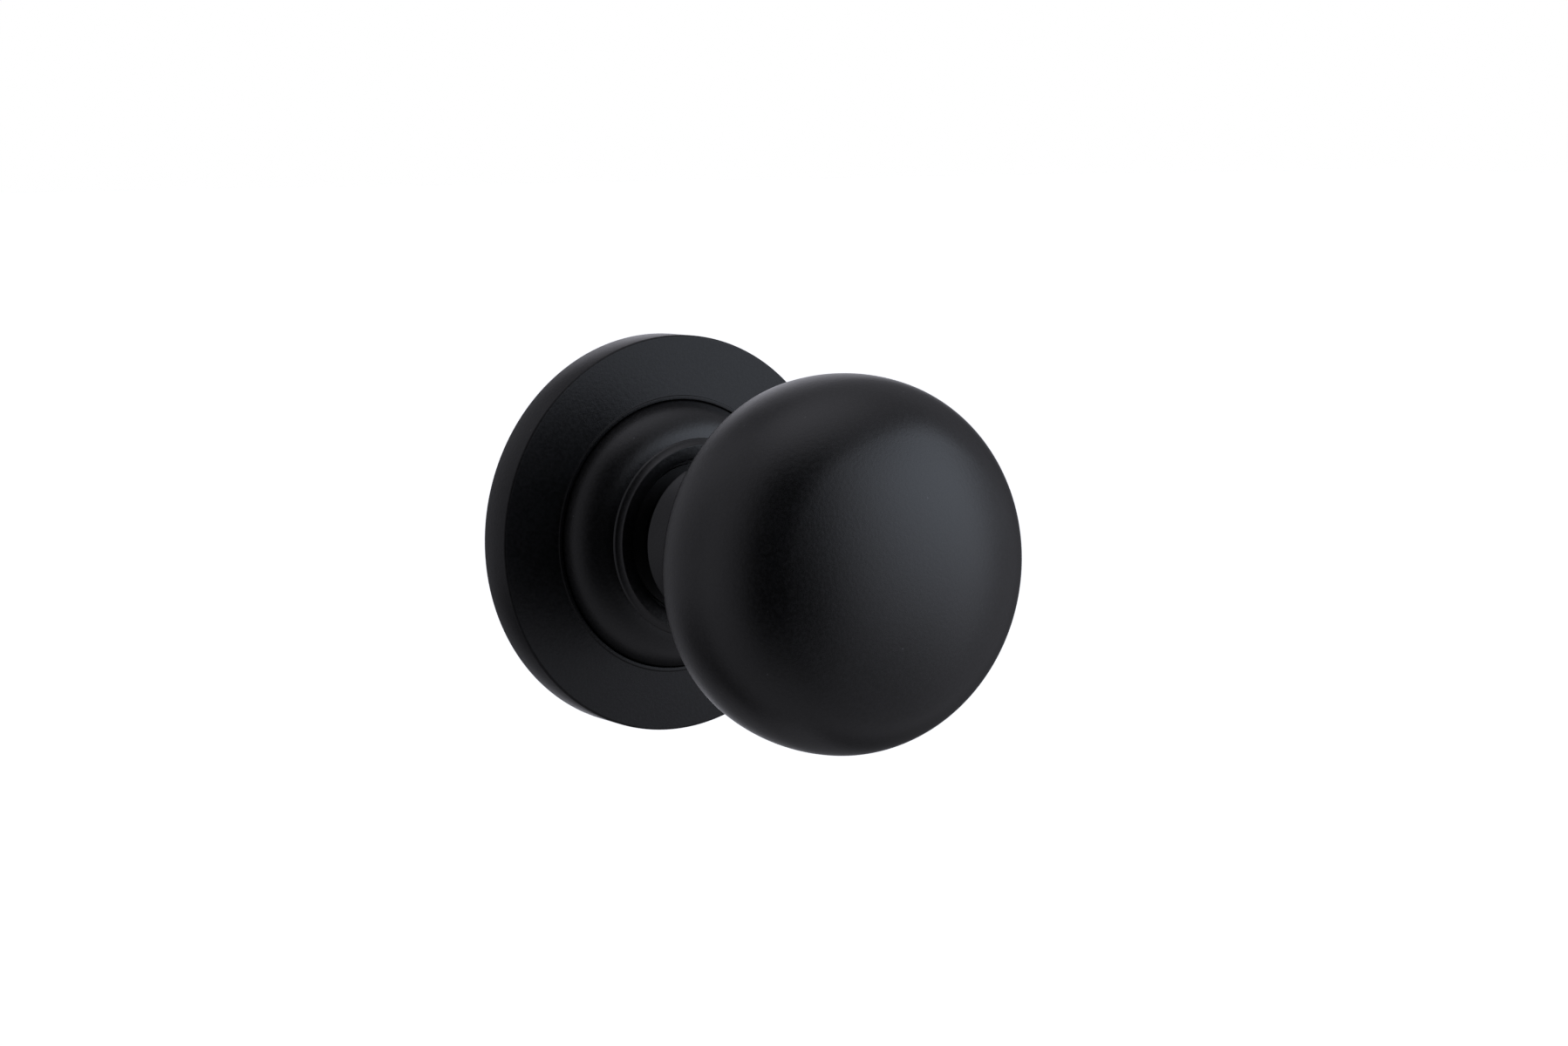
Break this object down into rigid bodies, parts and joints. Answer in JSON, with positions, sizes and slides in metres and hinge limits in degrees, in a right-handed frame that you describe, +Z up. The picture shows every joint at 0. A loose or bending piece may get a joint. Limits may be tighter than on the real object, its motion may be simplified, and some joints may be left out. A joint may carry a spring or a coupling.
{
  "type": "door knob",
  "caption": "Matt black mushroom door knob on a round rose with a stepped collar; the knob turns against a return spring and the rose cover slides forward off its fixings.",
  "frame": {"origin": "on the knob's axis in the plane of the door's face, which is the rose's back face", "axes": "-Y out of the door along the knob's axis, +Y into the door, +Z up, +X to the right as seen from the room"},
  "size_m": [0.0602, 0.1005, 0.0602],
  "materials": {
    "black_coating": "matt black powder coating on cast and pressed brass",
    "zinc": "as-cast zinc alloy, dull grey",
    "steel": "bright zinc-plated steel",
    "spring_steel": "oiled spring steel",
    "black_screw": "black oxide",
    "nylon": "black nylon"
  },
  "bodies": {
    "rose": {"mounting_plate": "zinc", "bolt_spigots": "steel", "through_bolts": "steel", "wood_screws": "steel", "cassette_cap": "steel", "cap_retaining_ring": "spring_steel", "neck_bush": "nylon", "cover_snap_ring": "spring_steel", "rear_washer": "steel", "return_spring": "spring_steel"},
    "knob": {"knob_head": "black_coating", "knob_shank": "black_coating", "head_screw": "black_screw", "lock_washer": "spring_steel", "head_dowels": "steel", "spindle": "steel", "spindle_grub_screw": "black_screw", "drive_cam": "zinc", "thrust_washer": "nylon", "wave_washer": "spring_steel", "retaining_circlip": "spring_steel"},
    "cover": {"rose_cover": "black_coating", "rose_collar": "black_coating"}
  },
  "joints": [
    {"name": "knob_turn", "type": "hinge", "parent": "rose", "child": "knob", "pos_m": [0, 0, 0], "axis": [0, -1, 0], "range_deg": [-55, 55], "stiffness_Nm_per_rad": 0.45, "deforming": ["return_spring"]},
    {"name": "cover_slide", "type": "slide", "parent": "rose", "child": "cover", "axis": [0, -1, 0], "range_m": [0, 0.02]}
  ]
}
